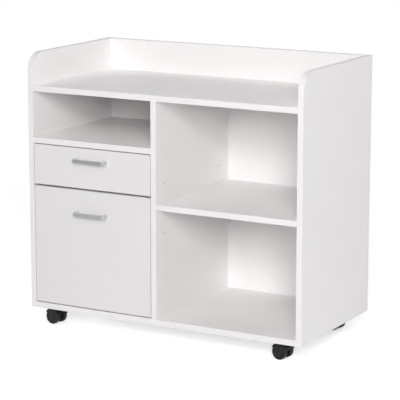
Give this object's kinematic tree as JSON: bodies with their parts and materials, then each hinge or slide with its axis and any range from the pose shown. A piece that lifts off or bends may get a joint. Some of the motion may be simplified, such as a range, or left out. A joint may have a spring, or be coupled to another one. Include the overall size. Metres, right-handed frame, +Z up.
{
  "type": "rolling office cabinet",
  "caption": "White rolling office cabinet with drawers beside open compartments, a sunken worktop with raised sides and rear gallery, on swivel casters.",
  "frame": {"origin": "on the floor under the centre of the bounding box", "axes": "+Z up, the front faces -Y, +X to the right seen from the front"},
  "size_m": [0.8, 0.422, 0.73],
  "materials": {
    "white_board": "white melamine-faced chipboard, satin, with white edge banding",
    "white_hardboard": "white lacquered hardboard, satin",
    "satin_metal": "satin nickel",
    "zinc_steel": "bright zinc plating",
    "white_steel": "white epoxy coating",
    "roller_plastic": "natural nylon",
    "beech": "fluted beech",
    "black_plastic": "moulded black nylon, slight gloss",
    "wheel_plastic": "moulded black nylon, satin"
  },
  "bodies": {
    "cabinet": {"left_side_panel": "white_board", "right_side_panel": "white_board", "worktop": "white_board", "bottom_panel": "white_board", "divider": "white_board", "fixed_shelf": "white_board", "adjustable_shelf": "white_board", "gallery_rail": "white_board", "back_panel": "white_hardboard", "cam_locks": "zinc_steel", "cam_bolts": "zinc_steel", "dowels": "beech", "shelf_pins": "zinc_steel", "back_panel_screws": "zinc_steel", "caster_plates": "zinc_steel", "caster_screws": "zinc_steel", "runner_screws": "zinc_steel", "upper_cabinet_runners": "white_steel", "lower_cabinet_runners": "white_steel"},
    "upper_front_rollers": {"upper_front_rollers": "roller_plastic"},
    "upper_rear_rollers": {"upper_rear_rollers": "roller_plastic"},
    "upper_drawer": {"upper_drawer_front": "white_board", "upper_drawer_left_side": "white_board", "upper_drawer_right_side": "white_board", "upper_drawer_back": "white_board", "upper_drawer_bottom": "white_hardboard", "upper_drawer_handle": "satin_metal", "upper_drawer_left_runner": "white_steel", "upper_drawer_right_runner": "white_steel", "upper_drawer_screws": "zinc_steel", "upper_drawer_cam_fittings": "zinc_steel"},
    "lower_front_rollers": {"lower_front_rollers": "roller_plastic"},
    "lower_rear_rollers": {"lower_rear_rollers": "roller_plastic"},
    "lower_drawer": {"lower_drawer_front": "white_board", "lower_drawer_left_side": "white_board", "lower_drawer_right_side": "white_board", "lower_drawer_back": "white_board", "lower_drawer_bottom": "white_hardboard", "lower_drawer_handle": "satin_metal", "lower_drawer_left_runner": "white_steel", "lower_drawer_right_runner": "white_steel", "lower_drawer_screws": "zinc_steel", "lower_drawer_cam_fittings": "zinc_steel"},
    "front_left_swivel": {"front_left_caster_hood": "black_plastic", "front_left_caster_axle": "zinc_steel"},
    "front_left_caster_left_wheel": {"front_left_caster_left_wheel": "wheel_plastic"},
    "front_left_caster_right_wheel": {"front_left_caster_right_wheel": "wheel_plastic"},
    "front_right_swivel": {"front_right_caster_hood": "black_plastic", "front_right_caster_axle": "zinc_steel"},
    "front_right_caster_left_wheel": {"front_right_caster_left_wheel": "wheel_plastic"},
    "front_right_caster_right_wheel": {"front_right_caster_right_wheel": "wheel_plastic"},
    "rear_left_swivel": {"rear_left_caster_hood": "black_plastic", "rear_left_caster_axle": "zinc_steel"},
    "rear_left_caster_left_wheel": {"rear_left_caster_left_wheel": "wheel_plastic"},
    "rear_left_caster_right_wheel": {"rear_left_caster_right_wheel": "wheel_plastic"},
    "rear_right_swivel": {"rear_right_caster_hood": "black_plastic", "rear_right_caster_axle": "zinc_steel"},
    "rear_right_caster_left_wheel": {"rear_right_caster_left_wheel": "wheel_plastic"},
    "rear_right_caster_right_wheel": {"rear_right_caster_right_wheel": "wheel_plastic"}
  },
  "joints": [
    {"name": "upper_drawer_slide", "type": "slide", "parent": "cabinet", "child": "upper_drawer", "axis": [0, -1, 0], "range_m": [0, 0.25]},
    {"name": "upper_front_rollers_spin", "type": "hinge", "parent": "cabinet", "child": "upper_front_rollers", "pos_m": [-0.2065, -0.161, 0.4087], "axis": [1, 0, 0], "continuous": true},
    {"name": "upper_rear_rollers_spin", "type": "hinge", "parent": "upper_drawer", "child": "upper_rear_rollers", "pos_m": [-0.2065, 0.166, 0.4075], "axis": [1, 0, 0], "continuous": true},
    {"name": "lower_drawer_slide", "type": "slide", "parent": "cabinet", "child": "lower_drawer", "axis": [0, -1, 0], "range_m": [0, 0.25]},
    {"name": "lower_front_rollers_spin", "type": "hinge", "parent": "cabinet", "child": "lower_front_rollers", "pos_m": [-0.2065, -0.161, 0.0902], "axis": [1, 0, 0], "continuous": true},
    {"name": "lower_rear_rollers_spin", "type": "hinge", "parent": "lower_drawer", "child": "lower_rear_rollers", "pos_m": [-0.2065, 0.166, 0.089], "axis": [1, 0, 0], "continuous": true},
    {"name": "front_left_swivel_turn", "type": "hinge", "parent": "cabinet", "child": "front_left_swivel", "pos_m": [-0.34, -0.144, 0.03], "axis": [0, 0, 1], "continuous": true},
    {"name": "front_left_left_wheel_spin", "type": "hinge", "parent": "front_left_swivel", "child": "front_left_caster_left_wheel", "pos_m": [-0.3528, -0.14174, 0.02], "axis": [-0.1736, -0.9848, 0], "continuous": true},
    {"name": "front_left_right_wheel_spin", "type": "hinge", "parent": "front_left_swivel", "child": "front_left_caster_right_wheel", "pos_m": [-0.3528, -0.14174, 0.02], "axis": [-0.1736, -0.9848, 0], "continuous": true},
    {"name": "front_right_swivel_turn", "type": "hinge", "parent": "cabinet", "child": "front_right_swivel", "pos_m": [0.34, -0.144, 0.03], "axis": [0, 0, 1], "continuous": true},
    {"name": "front_right_left_wheel_spin", "type": "hinge", "parent": "front_right_swivel", "child": "front_right_caster_left_wheel", "pos_m": [0.32713, -0.14219, 0.02], "axis": [-0.1392, -0.9903, 0], "continuous": true},
    {"name": "front_right_right_wheel_spin", "type": "hinge", "parent": "front_right_swivel", "child": "front_right_caster_right_wheel", "pos_m": [0.32713, -0.14219, 0.02], "axis": [-0.1392, -0.9903, 0], "continuous": true},
    {"name": "rear_left_swivel_turn", "type": "hinge", "parent": "cabinet", "child": "rear_left_swivel", "pos_m": [-0.34, 0.166, 0.03], "axis": [0, 0, 1], "continuous": true},
    {"name": "rear_left_left_wheel_spin", "type": "hinge", "parent": "rear_left_swivel", "child": "rear_left_caster_left_wheel", "pos_m": [-0.34445, 0.15378, 0.02], "axis": [0.9397, -0.342, 0], "continuous": true},
    {"name": "rear_left_right_wheel_spin", "type": "hinge", "parent": "rear_left_swivel", "child": "rear_left_caster_right_wheel", "pos_m": [-0.34445, 0.15378, 0.02], "axis": [0.9397, -0.342, 0], "continuous": true},
    {"name": "rear_right_swivel_turn", "type": "hinge", "parent": "cabinet", "child": "rear_right_swivel", "pos_m": [0.34, 0.166, 0.03], "axis": [0, 0, 1], "continuous": true},
    {"name": "rear_right_left_wheel_spin", "type": "hinge", "parent": "rear_right_swivel", "child": "rear_right_caster_left_wheel", "pos_m": [0.32716, 0.16803, 0.02], "axis": [-0.1564, -0.9877, 0], "continuous": true},
    {"name": "rear_right_right_wheel_spin", "type": "hinge", "parent": "rear_right_swivel", "child": "rear_right_caster_right_wheel", "pos_m": [0.32716, 0.16803, 0.02], "axis": [-0.1564, -0.9877, 0], "continuous": true}
  ],
  "couplings": [
    {"joint": "upper_front_rollers_spin", "follows": "upper_drawer_slide", "rad_per_m": 111.11},
    {"joint": "upper_rear_rollers_spin", "follows": "upper_drawer_slide", "rad_per_m": 133.33},
    {"joint": "lower_front_rollers_spin", "follows": "lower_drawer_slide", "rad_per_m": 111.11},
    {"joint": "lower_rear_rollers_spin", "follows": "lower_drawer_slide", "rad_per_m": 133.33}
  ]
}
